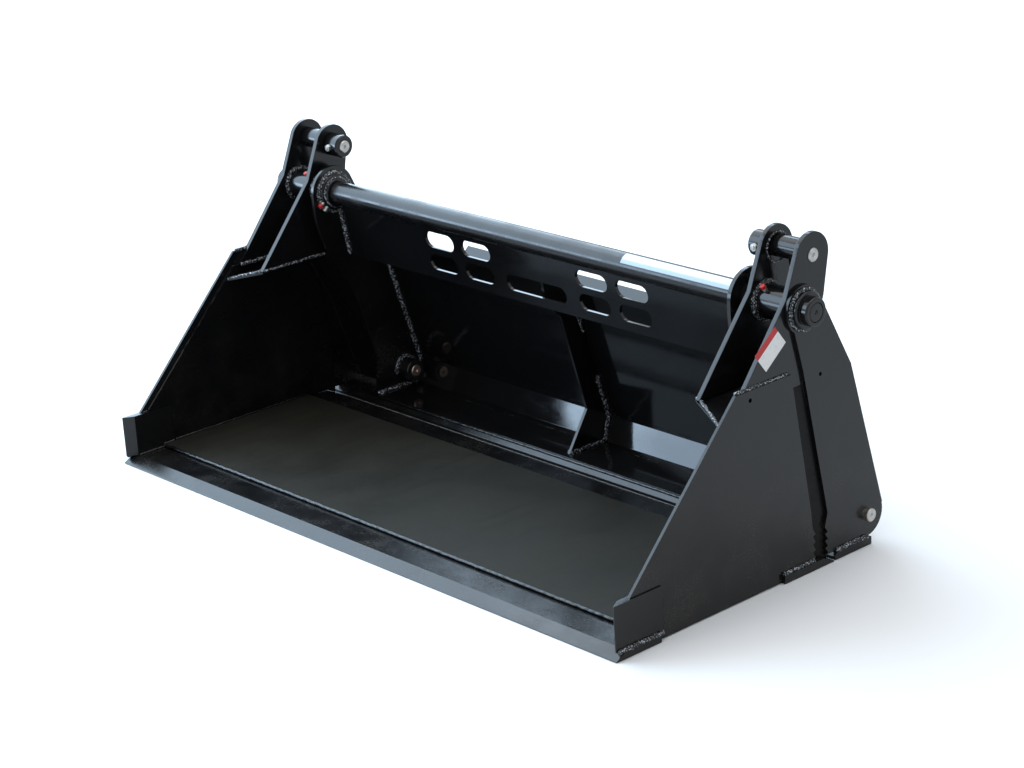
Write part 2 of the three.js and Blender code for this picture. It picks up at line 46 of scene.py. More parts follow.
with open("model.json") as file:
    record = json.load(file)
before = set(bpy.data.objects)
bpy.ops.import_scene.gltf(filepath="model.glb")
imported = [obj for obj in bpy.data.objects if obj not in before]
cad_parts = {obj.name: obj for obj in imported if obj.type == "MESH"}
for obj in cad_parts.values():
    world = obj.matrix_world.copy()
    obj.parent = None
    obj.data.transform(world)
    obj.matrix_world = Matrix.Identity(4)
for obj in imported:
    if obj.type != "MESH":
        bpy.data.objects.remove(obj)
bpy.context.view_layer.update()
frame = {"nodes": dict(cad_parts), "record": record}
NODES = frame["nodes"]
BODY_OF = {
    node: body
    for body, nodes in frame["record"]["behaviour"]["bodies"].items()
    for node in nodes
}
MM = 0.001

MERGE = 1e-6  # points closer than this are one
SHARP_DEGREES = 38.0  # faces that meet at more than this are shaded apart
BEAD_SIDES = 7
RIPPLE_STEPS = 3  # points along a bead for each ripple
BEAD_SEED = 5  # the beads drift the same way each time
CIRCLE_STEPS = 40
SPIN_STEPS = 20
FILM_THICKNESS = 0.0003
BAND_WIDTH = 0.016  # the red band of the lug label
GROUND_WIDTH = 0.040  # the white ground beside it
LABEL_LENGTH = 0.083
STRIP_START, STRIP_WRAP = 98.0, 56.0  # degrees round the cross tube, from its back over its top
TUBE_LEAN = 35.0  # degrees that the pivot tubes' grease fittings lean forward
BOSS_LEAN, PLUG_LEAN = 118.0, 138.0  # the same for the inner bosses' fittings and plugs
SENSOR_WIDTH = 36.0  # millimetres
FLOOR_DROP = 0.0006  # how far the studio floor lies below the cutting edges


# ---- where things are, in metres, taken from the steel itself ----


def middle(node):
    low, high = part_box(node)
    return (Vector(low) + Vector(high)) / 2


CUTTING_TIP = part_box("base_edge")[0][1]
PIVOT = middle("pivot_pin_right")
TOP_PIN = middle("top_pin_right")
LOWER_PIN = middle("lower_pin_right")
INNER_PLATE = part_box("frame_inner_plate_right")[0][0] / MM


def spot(x, y, z):
    """A point from its x, its distance behind the cutting edge and its height, all in millimetres."""
    return Vector((x * MM, y * MM + CUTTING_TIP, z * MM))


# ---- settings ----


class BucketSizes(bpy.types.PropertyGroup):
    """Sizes of the small details"""

    edge_round: FloatProperty(
        name="Edge Rounding",
        description="Radius on the cut edges of plates",
        default=0.0012,
        min=0.0002,
        max=0.004,
        unit="LENGTH",
    )
    bead_radius: FloatProperty(
        name="Weld Radius",
        description="Radius of a weld bead",
        default=0.0052,
        min=0.001,
        max=0.01,
        unit="LENGTH",
    )
    ripple_pitch: FloatProperty(
        name="Weld Ripple",
        description="Distance from one ripple of a weld bead to the next",
        default=0.006,
        min=0.002,
        max=0.02,
        unit="LENGTH",
    )
    centre_hole: FloatProperty(
        name="Pin Centre Hole",
        description="Radius of the lathe's centre hole in a pin's end",
        default=0.0045,
        min=0.001,
        max=0.01,
        unit="LENGTH",
    )
    strip_length: FloatProperty(
        name="Strip Length",
        description="Length of the pale strip on the cross tube",
        default=0.352,
        min=0.05,
        max=1.0,
        unit="LENGTH",
    )


class BucketColours(bpy.types.PropertyGroup):
    """Colours of the finishes"""

    enamel: FloatVectorProperty(
        name="Enamel",
        description="Black enamel on the plates",
        subtype="COLOR",
        default=(0.0045, 0.0046, 0.005),
        min=0.0,
        max=1.0,
    )
    floor_film: FloatVectorProperty(
        name="Floor Film",
        description="Dusty film on the floor of the clam",
        subtype="COLOR",
        default=(0.022, 0.0215, 0.016),
        min=0.0,
        max=1.0,
    )
    dust: FloatVectorProperty(
        name="Dust",
        description="Yard dust on the lower part of the plates",
        subtype="COLOR",
        default=(0.05, 0.043, 0.034),
        min=0.0,
        max=1.0,
    )
    pin_steel: FloatVectorProperty(
        name="Pin Steel",
        description="Plated steel of the upper pins and the bolts",
        subtype="COLOR",
        default=(0.62, 0.6, 0.57),
        min=0.0,
        max=1.0,
    )
    pin_copper: FloatVectorProperty(
        name="Pin Copper",
        description="Coppery steel of the lower pins",
        subtype="COLOR",
        default=(0.66, 0.5, 0.42),
        min=0.0,
        max=1.0,
    )
    chrome: FloatVectorProperty(
        name="Rod Chrome",
        description="Hard chrome on the cylinder rods",
        subtype="COLOR",
        default=(0.8, 0.8, 0.82),
        min=0.0,
        max=1.0,
    )
    strip: FloatVectorProperty(
        name="Strip",
        description="Pale strip on the cross tube",
        subtype="COLOR",
        default=(0.7, 0.78, 0.84),
        min=0.0,
        max=1.0,
    )
    label_white: FloatVectorProperty(
        name="Label White",
        description="Ground of the label on the right lug",
        subtype="COLOR",
        default=(0.8, 0.8, 0.78),
        min=0.0,
        max=1.0,
    )
    label_red: FloatVectorProperty(
        name="Label Red",
        description="Band of the label on the right lug, and the grease caps",
        subtype="COLOR",
        default=(0.5, 0.02, 0.02),
        min=0.0,
        max=1.0,
    )


class StudioSettings(bpy.types.PropertyGroup):
    """Camera, light and floor of the studio"""

    camera_place: FloatVectorProperty(
        name="Camera Place",
        description="Where the camera stands",
        subtype="TRANSLATION",
        unit="LENGTH",
        default=(4.54166, -3.88984, 2.40752),
    )
    camera_azimuth: FloatProperty(
        name="Camera Azimuth",
        description="Angle of the camera round the bucket",
        default=math.radians(48.77),
        subtype="ANGLE",
    )
    camera_elevation: FloatProperty(
        name="Camera Elevation",
        description="Angle of the camera above the horizon",
        default=math.radians(19.53),
        subtype="ANGLE",
    )
    camera_roll: FloatProperty(
        name="Camera Roll",
        description="Tilt of the camera about its own axis",
        default=math.radians(-3.6),
        subtype="ANGLE",
    )
    focal_length: FloatProperty(
        name="Focal Length",
        description="Focal length of the lens, in millimetres on a 36 mm sensor",
        default=91.65,
        min=10.0,
        max=300.0,
    )
    left_wall: FloatProperty(
        name="Left Wall",
        description="Brightness of the wide, cool wall of light at the left",
        default=4.2,
        min=0.0,
    )
    low_panel: FloatProperty(
        name="Low Panel",
        description="Brightness of the low panel that the foot of the moldboard mirrors",
        default=6.5,
        min=0.0,
    )
    top_panel: FloatProperty(
        name="Top Panel",
        description="Brightness of the light panel overhead",
        default=1.5,
        min=0.0,
    )
    room: FloatProperty(
        name="Room Light",
        description="Brightness of the room round the bucket",
        default=0.7,
        min=0.0,
    )
    floor_colour: FloatVectorProperty(
        name="Floor Colour",
        description="Colour of the studio floor",
        subtype="COLOR",
        default=(0.88, 0.88, 0.88),
        min=0.0,
        max=1.0,
    )


# ---- materials ----


class Finish:
    """A procedural material in the making, and short ways to add its nodes."""

    def __init__(self, name, colour, roughness, metallic=0.0):
        self.material = bpy.data.materials.new(name)
        self.material.use_nodes = True
        self.tree = self.material.node_tree
        self.shader = self.tree.nodes["Principled BSDF"]
        self.shader.inputs["Base Color"].default_value = (*colour, 1.0)
        self.shader.inputs["Roughness"].default_value = roughness
        self.shader.inputs["Metallic"].default_value = metallic
        self.place = self.tree.nodes.new("ShaderNodeTexCoord").outputs["Object"]

    def add(self, kind, values=(), **settings):
        made = self.tree.nodes.new(kind)
        for key, value in settings.items():
            setattr(made, key, value)
        for key, value in dict(values).items():
            if isinstance(value, bpy.types.NodeSocket):
                self.tree.links.new(value, made.inputs[key])
            else:
                made.inputs[key].default_value = value
        return made

    def noise(self, scale, detail=4.0, roughness=0.5, stretch=(1, 1, 1)):
        mapping = self.add("ShaderNodeMapping", {"Vector": self.place, "Scale": stretch})
        return self.add(
            "ShaderNodeTexNoise",
            {"Vector": mapping.outputs[0], "Scale": scale, "Detail": detail, "Roughness": roughness},
        ).outputs["Fac"]

    def ranged(self, value, low, high, to_low, to_high):
        return self.add(
            "ShaderNodeMapRange",
            {"Value": value, "From Min": low, "From Max": high, "To Min": to_low, "To Max": to_high},
            clamp=True,
        ).outputs[0]

    def times(self, one, two):
        return self.add("ShaderNodeMath", {0: one, 1: two}, operation="MULTIPLY").outputs[0]

    def plus(self, one, two):
        return self.add("ShaderNodeMath", {0: one, 1: two}, operation="ADD", use_clamp=True).outputs[0]

    def blended(self, amount, one, two):
        mix = self.add("ShaderNodeMix", data_type="RGBA")
        for index, value in ((6, one), (7, two)):
            if isinstance(value, bpy.types.NodeSocket):
                self.tree.links.new(value, mix.inputs[index])
            else:
                mix.inputs[index].default_value = (*value, 1.0)
        self.tree.links.new(amount, mix.inputs[0])
        return mix.outputs[2]

    def set(self, socket, value):
        self.tree.links.new(value, self.shader.inputs[socket])

    def bumps(self, *layers):
        """Stacked bumps, each (height, strength, depth)."""
        last = None
        for height, strength, depth in layers:
            values = {"Height": height, "Strength": strength, "Distance": depth}
            if last is not None:
                values["Normal"] = last
            last = self.add("ShaderNodeBump", values).outputs[0]
        self.set("Normal", last)


def enamel(name, colours, dust_height, dust_most, smooth, rough):
    """Gloss black enamel with orange peel, faint waviness of the sheet, and dust that thins out upwards."""
    made = Finish(name, colours.enamel, smooth)
    height = made.add("ShaderNodeSeparateXYZ", {0: made.place}).outputs[2]
    low = made.ranged(height, 0.0, dust_height, 1.0, 0.0)
    patches = made.ranged(made.noise(9.0, 6.0, 0.65), 0.42, 0.68, 0.0, 1.0)
    specks = made.ranged(made.noise(170.0, 3.0, 0.7), 0.5, 0.68, 0.25, 1.0)
    dust = made.times(made.times(made.times(low, patches), specks), dust_most)
    made.set("Base Color", made.blended(dust, colours.enamel, colours.dust))
    smears = made.ranged(made.noise(14.0, 5.0, 0.6, (1, 1, 2.5)), 0.35, 0.75, smooth, rough)
    made.set("Roughness", made.plus(smears, made.times(dust, 0.35)))
    made.bumps(
        (made.noise(3.2, 1.0), 0.08, 0.012),
        (made.noise(420.0, 2.0), 0.05, 0.0006),
    )
    return made.material


def liner_shade_enamel(colours):
    """Duller enamel on the liners, with less reflection, so that the strip of liner that shows in the gap
    behind the side plates reads dark as painted shade.
    """
    material = enamel("liner_shade_enamel", colours, 0.42, 0.5, 0.25, 0.45)
    # less reflection than the side plates, so that the liner's strip in the gap reads dark: painted shade
    material.node_tree.nodes["Principled BSDF"].inputs["Specular IOR Level"].default_value = 0.12
    return material


def floor_film(colours):
    """The clam's floor: enamel under a brown film of dust, scuffed along Y."""
    made = Finish("floor_film", colours.floor_film, 0.5)
    broad = made.ranged(made.noise(3.0, 6.0, 0.6), 0.3, 0.7, 0.0, 1.0)
    grit = made.ranged(made.noise(260.0, 4.0, 0.75), 0.35, 0.7, 0.0, 1.0)
    scuffs = made.ranged(made.noise(40.0, 3.0, 0.6, (1, 0.06, 1)), 0.55, 0.72, 0.0, 0.5)
    film = made.blended(broad, (0.012, 0.012, 0.0095), (0.018, 0.0175, 0.013))
    film = made.blended(made.times(grit, 0.5), film, (0.026, 0.025, 0.018))
    made.set("Base Color", made.blended(scuffs, film, (0.009, 0.009, 0.008)))
    made.shader.inputs["Specular IOR Level"].default_value = 0.22
    made.set("Roughness", made.ranged(made.noise(6.0, 4.0), 0.3, 0.7, 0.42, 0.6))
    made.bumps((grit, 0.15, 0.0005))
    return made.material


def weld_enamel(colours):
    """Enamel over weld beads: glossy, with painted glints, fine bright specks in the colour that stand for
    light caught on the bead's ripples.
    """
    made = Finish("weld_enamel", colours.enamel, 0.14)
    grains = made.noise(230.0, 3.0, 0.7)
    # painted glints: where the fine grain noise peaks, the colour turns bright bluish grey, as highlights on
    # the bead
    painted_glints = made.ranged(grains, 0.545, 0.6, 0.0, 1.0)
    made.set("Base Color", made.blended(painted_glints, (0.01, 0.01, 0.011), (0.5, 0.53, 0.57)))
    made.set("Roughness", made.ranged(made.noise(60.0, 2.0), 0.3, 0.7, 0.08, 0.24))
    made.bumps((made.noise(150.0, 4.0, 0.6), 0.8, 0.004), (grains, 0.4, 0.001))
    return made.material


def bare_steel(name, colour, smooth, rough, grain):
    """Turned or plated steel: fine turning marks, stains and a few dull patches."""
    made = Finish(name, colour, smooth, 1.0)
    stain = made.ranged(made.noise(90.0, 5.0, 0.65), 0.4, 0.75, 0.0, 0.7)
    made.set("Base Color", made.blended(stain, colour, tuple(0.45 * part for part in colour)))
    made.set("Roughness", made.ranged(made.noise(160.0, 4.0, 0.7), 0.3, 0.7, smooth, rough))
    made.bumps((made.noise(grain, 2.0), 0.08, 0.0004))
    return made.material


def coppery_steel(colours):
    """The lower pins' steel: coppery at the inboard end, plain at the outboard end."""
    made = Finish("coppery_steel", colours.pin_copper, 0.3, 1.0)
    along = made.add("ShaderNodeSeparateXYZ", {0: made.place}).outputs[0]
    off_centre = made.add("ShaderNodeMath", {0: along}, operation="ABSOLUTE").outputs[0]
    outboard = made.ranged(off_centre, 0.8, 0.86, 0.0, 1.0)
    steel = made.blended(outboard, colours.pin_copper, colours.pin_steel)
    stain = made.ranged(made.noise(90.0, 5.0, 0.65), 0.4, 0.75, 0.0, 0.6)
    made.set("Base Color", made.blended(stain, steel, (0.3, 0.22, 0.18)))
    made.set("Roughness", made.ranged(made.noise(160.0, 4.0, 0.7), 0.3, 0.7, 0.28, 0.45))
    made.bumps((made.noise(600.0, 2.0), 0.08, 0.0004))
    return made.material


def strip_film(colours):
    """The pale strip: a white ground with a faded blue band along its lower side."""
    made = Finish("strip_film", colours.strip, 0.32)
    height = made.add("ShaderNodeSeparateXYZ", {0: made.place}).outputs[2]
    edge = PIVOT.z + 0.0215
    band = made.ranged(height, edge - 0.001, edge + 0.001, 0.55, 0.0)
    faded = made.ranged(made.noise(25.0, 5.0, 0.6), 0.3, 0.75, 0.0, 0.35)
    film = made.blended(band, colours.strip, (0.16, 0.3, 0.44))
    made.set("Base Color", made.blended(faded, film, (0.4, 0.48, 0.54)))
    made.set("Roughness", made.ranged(made.noise(80.0, 3.0), 0.3, 0.7, 0.25, 0.42))
    made.bumps((made.noise(300.0, 2.0), 0.04, 0.0005))
    return made.material


def label_film(name, colour):
    """Vinyl label with slight soiling."""
    made = Finish(name, colour, 0.35)
    soil = made.ranged(made.noise(120.0, 5.0, 0.65), 0.5, 0.8, 0.0, 0.35)
    made.set("Base Color", made.blended(soil, colour, tuple(0.55 * part for part in colour)))
    made.set("Roughness", made.ranged(made.noise(60.0, 3.0), 0.3, 0.7, 0.28, 0.45))
    made.bumps((made.noise(200.0, 2.0), 0.05, 0.0003))
    return made.material


FINISHES = {}


def make_finishes(colours):
    """Every finish, under the short name that the pieces ask for it by."""
    FINISHES["enamel"] = enamel("black_enamel", colours, 0.25, 0.3, 0.1, 0.2)
    FINISHES["side"] = enamel("side_enamel", colours, 0.42, 0.75, 0.13, 0.28)
    FINISHES["edge"] = enamel("edge_enamel", colours, 0.06, 0.6, 0.16, 0.3)
    FINISHES["back"] = enamel("moldboard_enamel", colours, 0.2, 0.15, 0.05, 0.12)
    FINISHES["liner"] = liner_shade_enamel(colours)
    FINISHES["tube"] = enamel("tube_enamel", colours, 0.2, 0.1, 0.16, 0.4)
    FINISHES["floor"] = floor_film(colours)
    FINISHES["weld"] = weld_enamel(colours)
    FINISHES["zinc"] = bare_steel("plated_steel", colours.pin_steel, 0.24, 0.42, 700.0)
    FINISHES["copper"] = coppery_steel(colours)
    FINISHES["chrome"] = bare_steel("hard_chrome", colours.chrome, 0.05, 0.12, 900.0)
    FINISHES["strip"] = strip_film(colours)
    FINISHES["label_white"] = label_film("label_white", colours.label_white)
    FINISHES["label_red"] = label_film("label_red", colours.label_red)


# ---- pieces ----


def place_piece(name, mesh, finish, body):
    """An object for the mesh, with its finish and the body it rides on."""
    piece = bpy.data.objects.new(name, mesh)
    bpy.context.scene.collection.objects.link(piece)
    mesh.materials.clear()
    mesh.materials.append(FINISHES[finish])
    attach(piece, body)
    return piece


def sharp_edges(bm, over_degrees):
    limit = math.radians(over_degrees)
    return [edge for edge in bm.edges if len(edge.link_faces) == 2 and edge.calc_face_angle(0.0) > limit]


def shade(bm):
    for face in bm.faces:
        face.smooth = True
    for edge in sharp_edges(bm, SHARP_DEGREES):
        edge.smooth = False


def to_mesh(bm, name):
    mesh = bpy.data.meshes.new(name)
    bm.to_mesh(mesh)
    bm.free()
    return mesh


def keep_flats_flat(piece):
    flats = piece.modifiers.new("Flat faces", "WEIGHTED_NORMAL")
    flats.keep_sharp = True
    flats.weight = 100


def steel_copy(node):
    """The node's steel as a bmesh of whole faces instead of loose triangles."""
    bm = bmesh.new()
    bm.from_mesh(NODES[node].data)
    bmesh.ops.remove_doubles(bm, verts=bm.verts, dist=1e-5)
    bmesh.ops.dissolve_limit(bm, angle_limit=math.radians(0.6), verts=bm.verts, edges=bm.edges)
    return bm


def round_edges(bm, radius, over_degrees):
    bmesh.ops.bevel(
        bm,
        geom=sharp_edges(bm, over_degrees),
        offset=radius,
        offset_type="OFFSET",
        segments=2,
        profile=0.5,
        affect="EDGES",
        clamp_overlap=True,
        material=-1,
    )


def drill_ends(bm, radius, hole):
    """A lathe's centre hole in each end face of a pin along X."""
    ends = [
        face
        for face in bm.faces
        if abs(face.normal.x) > 0.999 and face.calc_area() > math.pi * (0.6 * radius) ** 2
    ]
    for face in ends:
        bmesh.ops.inset_region(bm, faces=[face], thickness=radius * 0.88 - hole, depth=0.0)
        bmesh.ops.inset_region(bm, faces=[face], thickness=hole * 0.55, depth=-hole * 0.9)


def finish_node(node, finish, radius, hole=0.0, over_degrees=32.0):
    """A rounded, finished piece that stands for the node."""
    bm = steel_copy(node)
    if hole:
        low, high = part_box(node)
        drill_ends(bm, (high[2] - low[2]) / 2, hole)
    round_edges(bm, radius, over_degrees)
    shade(bm)
    piece = place_piece(f"{node}_finished", to_mesh(bm, node), finish, BODY_OF[node])
    keep_flats_flat(piece)
    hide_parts(node)
    return piece


def both(*names):
    return [f"{name}_{side}" for name in names for side in ("right", "left")]


# ---- weld beads ----


def walk(corners, step):
    """Evenly spaced points along a path of straight runs, with the direction at each."""
    points = []
    for start, end in zip(corners, corners[1:]):
        run = end - start
        count = max(2, round(run.length / step))
        along = run.normalized()
        points += [(start + run * (i / count), along) for i in range(count)]
    points.append((corners[-1], (corners[-1] - corners[-2]).normalized()))
    return points


def lay_bead(bm, corners, radius, ripple):
    """A rippled bead along the path, closed to a point at both ends."""
    points = walk(corners, ripple / RIPPLE_STEPS)
    count = len(points) - 1
    grid = bmesh.ops.create_grid(bm, x_segments=count, y_segments=BEAD_SIDES, size=1.0)
    for vert in grid["verts"]:
        i = round((vert.co.x + 1) / 2 * count)
        turn = (vert.co.y + 1) * math.pi
        centre, along = points[i]
        side = along.orthogonal().normalized()
        other = along.cross(side)
        wander = 0.75 + 0.5 * noise.noise(centre * 90.0)
        swell = 0.82 + 0.22 * abs(math.sin(math.pi * i / RIPPLE_STEPS + 0.4)) * wander
        size = 0.0 if i in (0, count) else radius * swell
        drift = noise.noise_vector(centre * 60.0) * radius * 0.22
        vert.co = centre + drift + (side * math.cos(turn) + other * math.sin(turn)) * size
    bmesh.ops.remove_doubles(bm, verts=bm.verts, dist=MERGE)


def circle_path(x, centre, radius, start=0.0, end=360.0):
    """An arc round the centre, in the plane at x. The radius is in millimetres too."""
    turns = [
        math.radians(start + (end - start) * i / CIRCLE_STEPS) for i in range(CIRCLE_STEPS + 1)
    ]
    return [
        Vector((x * MM, centre.y + radius * MM * math.cos(t), centre.z + radius * MM * math.sin(t)))
        for t in turns
    ]


def flat_path(x, *yz):
    """A path in the plane at x."""
    return [spot(x, y, z) for y, z in yz]


def clam_beads():
    """Paths of the clam's coarse beads, laid at both ends. Each has its own size factor."""
    return [
        (flat_path(911, (8, 20), (147, 20)), 1.2),
        (flat_path(906, (532, 20), (640, 20)), 1.2),
        (flat_path(897.5, (404, 483.5), (480, 483.5), (575, 483.5)), 1.1),
        (flat_path(883, (408, 446.5), (612, 446.5)), 1.1),
        (circle_path(794, PIVOT, 42), 1.5),
        (circle_path(779, PIVOT, 42), 1.0),
        (circle_path(882.5, PIVOT, 42), 1.3),
        (circle_path(793, TOP_PIN, 34.5), 0.6),
        ([spot(793.5, 406, 445), spot(889, 366, 416)], 0.9),
        (flat_path(779.5, (406, 447), (612, 447)), 0.8),
        ([spot(906, 139, 3), spot(906, 139, 18)], 0.8),
    ]


def clam_seams():
    """Paths of the clam's smooth seams: those at both ends, then the long ones."""
    ends = [
        (flat_path(888.5, (34, 20), (113, 20), (114, 27.5), (147, 27.5)), 0.8),
        (flat_path(906.5, (149, 22), (149, 126)), 0.7),
        ([spot(896, 60, 127.5), spot(896, 147, 127.5)], 0.7),
        (flat_path(890, (149, 28), (590, 28)), 0.9),
        (flat_path(893.5, (78, 130), (392, 447)), 0.7),
        ([spot(889.5, 366, 417), spot(889.5, 558, 417)], 0.8),
    ]
    long_runs = [
        ([spot(-886, 114, 24), spot(886, 114, 24)], 0.9),
        ([spot(-886, 594.5, 23), spot(886, 594.5, 23)], 0.8),
        ([spot(-900, 138, 12), spot(900, 138, 12)], 0.8),
    ]
    return ends, long_runs


def frame_beads():
    """Paths of the rear frame's coarse beads, laid at both ends."""
    board = [(765, 468), (876, 92), (855, 28), (718, 28)]
    near = INNER_PLATE - 1
    return [
        (flat_path(near, *board), 1.7),
        (flat_path(near, (637, 588), (662, 440)), 1.4),
        (circle_path(near, PIVOT, 50), 1.6),
        (circle_path(near - 11.5, PIVOT, 38), 1.0),
        (circle_path(905.8, PIVOT, 45.5), 1.2),
        (circle_path(near, LOWER_PIN, 32, -60, 200), 1.4),
        (flat_path(906, (712, 20), (822, 20)), 1.4),
        (flat_path(5.8, (762, 462), (800, 335)), 1.0),
        (flat_path(5.8, (838, 208), (873, 92), (853, 29), (737, 29)), 1.4),
    ]


def frame_seams():
    """Paths of the rear frame's smooth seams: those at both ends, then the long ones."""
    far = INNER_PLATE + 11
    half = INNER_PLATE - 8
    ends = [
        (flat_path(far, (649, 390), (703, 284), (788, 30)), 0.9),
        (flat_path(896, (648, 390), (702, 284), (787, 30)), 0.9),
        ([spot(567, 888, 112), spot(567, 888, 384)], 0.9),
        ([spot(554, 880, 116), spot(554, 806, 380)], 0.9),
    ]
    long_runs = [
        ([spot(-half, 634, 592), spot(half, 634, 592)], 0.9),
        ([spot(-half, 713, 22), spot(half, 713, 22)], 0.8),
        ([spot(-560, 901, 388), spot(560, 901, 388)], 0.9),
        ([spot(-560, 901, 43), spot(560, 901, 43)], 0.9),
        ([spot(-half, 833, 24), spot(half, 833, 24)], 0.8),
    ]
    return ends, long_runs


def weld_piece(name, ends, long_runs, finish, body, sizes):
    """One piece with every bead: the ends laid on both sides, the long runs once."""
    bm = bmesh.new()
    for corners, factor in ends:
        for side in (1, -1):
            mirrored = [Vector((side * point.x, point.y, point.z)) for point in corners]
            lay_bead(bm, mirrored, sizes.bead_radius * factor, sizes.ripple_pitch)
    for corners, factor in long_runs:
        lay_bead(bm, corners, sizes.bead_radius * factor, sizes.ripple_pitch)
    bmesh.ops.recalc_face_normals(bm, faces=bm.faces)
    for face in bm.faces:
        face.smooth = True
    return place_piece(name, to_mesh(bm, name), finish, body)


# ---- operators ----


class BUCKET_OT_clam_steel(bpy.types.Operator):
    """Round and paint the clam's plates, lugs and cutting edges"""

    bl_idname = "bucket.clam_steel"
    bl_label = "Clam Steel"

    def execute(self, context):
        radius = context.scene.bucket_sizes.edge_round
        for node in ["base_edge", "clam_rear_edge", *both("side_cutter")]:
            finish_node(node, "edge", radius * 1.3, over_degrees=25.0)
        finish_node("clam_floor", "floor", radius)
        for node in both("clam_side_plate", "outer_lug", "inner_lug", "lug_shelf"):
            finish_node(node, "side", radius)
        for node in both("side_liner"):
            finish_node(node, "liner", radius)
        for node in both("pivot_tube"):
            finish_node(node, "enamel", radius)
        return {"FINISHED"}


class BUCKET_OT_frame_steel(bpy.types.Operator):
    """Round and paint the rear frame's plates, tube, bosses and loader mount"""

    bl_idname = "bucket.frame_steel"
    bl_label = "Rear Frame Steel"

    def execute(self, context):
        radius = context.scene.bucket_sizes.edge_round
        for node in ["back_plate", "slot_plate", "centre_gusset", *both("cylinder_cover")]:
            finish_node(node, "back", radius)
        for node in both("frame_inner_plate", "frame_outer_plate"):
            finish_node(node, "side", radius)
        finish_node("frame_rear_edge", "edge", radius * 1.3)
        finish_node("cross_tube", "tube", radius)
        for node in both("outer_boss", "inner_boss", "lower_boss"):
            finish_node(node, "enamel", radius)
        for node in ["mount_plate", "mount_lip", "mount_foot", *both("mount_rib")]:
            finish_node(node, "enamel", radius)
        return {"FINISHED"}


class BUCKET_OT_pins(bpy.types.Operator):
    """Finish the pins with centre holes, the collars and their bolts"""

    bl_idname = "bucket.pins"
    bl_label = "Pins and Bolts"

    def execute(self, context):
        sizes = context.scene.bucket_sizes
        radius = sizes.edge_round
        for node in both("top_pin"):
            finish_node(node, "zinc", radius * 0.6, hole=sizes.centre_hole)
        for node in both("lower_pin"):
            finish_node(node, "copper", radius * 0.6, hole=sizes.centre_hole)
        for node in both("pivot_pin"):
            finish_node(node, "enamel", radius * 0.6, hole=sizes.centre_hole)
        for node in both("pin_collar"):
            finish_node(node, "enamel", radius)
        for node in both("collar_bolt", "keeper_bolt"):
            finish_node(node, "zinc", radius * 0.5)
        return {"FINISHED"}


class BUCKET_OT_cylinders(bpy.types.Operator):
    """Finish the hydraulic cylinders: painted barrels, glands and eyes, chromed rods"""

    bl_idname = "bucket.cylinders"
    bl_label = "Hydraulic Cylinders"

    def execute(self, context):
        radius = context.scene.bucket_sizes.edge_round
        for node in both("cylinder_barrel", "cylinder_gland", "rod_eye"):
            finish_node(node, "enamel", radius)
        for node in both("cylinder_rod"):
            finish_node(node, "chrome", radius)
        return {"FINISHED"}


class BUCKET_OT_welds(bpy.types.Operator):
    """Lay the weld beads of the clam and of the rear frame"""

    bl_idname = "bucket.welds"
    bl_label = "Weld Beads"

    def execute(self, context):
        sizes = context.scene.bucket_sizes
        noise.seed_set(BEAD_SEED)
        weld_piece("clam_welds", clam_beads(), [], "weld", "clam", sizes)
        weld_piece("clam_seams", *clam_seams(), "side", "clam", sizes)
        weld_piece("rear_frame_welds", frame_beads(), [], "weld", "rear_frame", sizes)
        weld_piece("rear_frame_seams", *frame_seams(), "side", "rear_frame", sizes)
        return {"FINISHED"}


class BUCKET_OT_labels(bpy.types.Operator):
    """Stick the plain label on the right lug and the pale strip on the cross tube"""

    bl_idname = "bucket.labels"
    bl_label = "Labels"

    def execute(self, context):
        corner = spot(897.0, 536, 605)
        across = Vector((0, 0.6, -0.78)).normalized()
        down = Vector((0, -0.78, -0.6)).normalized()
        for name, finish, start, width in (
            ("lug_label_ground", "label_white", BAND_WIDTH, GROUND_WIDTH),
            ("lug_label_band", "label_red", 0.0, BAND_WIDTH),
        ):
            bm = bmesh.new()
            grid = bmesh.ops.create_grid(bm, x_segments=6, y_segments=6, size=0.5)
            for vert in grid["verts"]:
                wide = start + (vert.co.x + 0.5) * width
                far = (vert.co.y + 0.5) * LABEL_LENGTH
                vert.co = corner + across * (wide + 0.002) + down * (far + 0.001)
            self.thicken(bm)
            place_piece(name, to_mesh(bm, name), finish, "clam")
        self.strip(context.scene.bucket_sizes)
        return {"FINISHED"}

    def strip(self, sizes):
        low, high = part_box("cross_tube")
        radius = (high[2] - low[2]) / 2 + 0.0002
        end = high[0] - 0.003
        bm = bmesh.new()
        grid = bmesh.ops.create_grid(bm, x_segments=24, y_segments=12, size=0.5)
        for vert in grid["verts"]:
            turn = math.radians(STRIP_START + (vert.co.y + 0.5) * STRIP_WRAP)
            x = end - (0.5 - vert.co.x) * sizes.strip_length
            vert.co = Vector((x, PIVOT.y + radius * math.cos(turn), PIVOT.z + radius * math.sin(turn)))
        self.thicken(bm)
        shade(bm)
        place_piece("cross_tube_strip", to_mesh(bm, "cross_tube_strip"), "strip", "rear_frame")

    def thicken(self, bm):
        """A film's thickness for a sheet whose points have just been moved."""
        bm.normal_update()
        bmesh.ops.solidify(bm, geom=bm.faces, thickness=FILM_THICKNESS)
        bmesh.ops.recalc_face_normals(bm, faces=bm.faces)


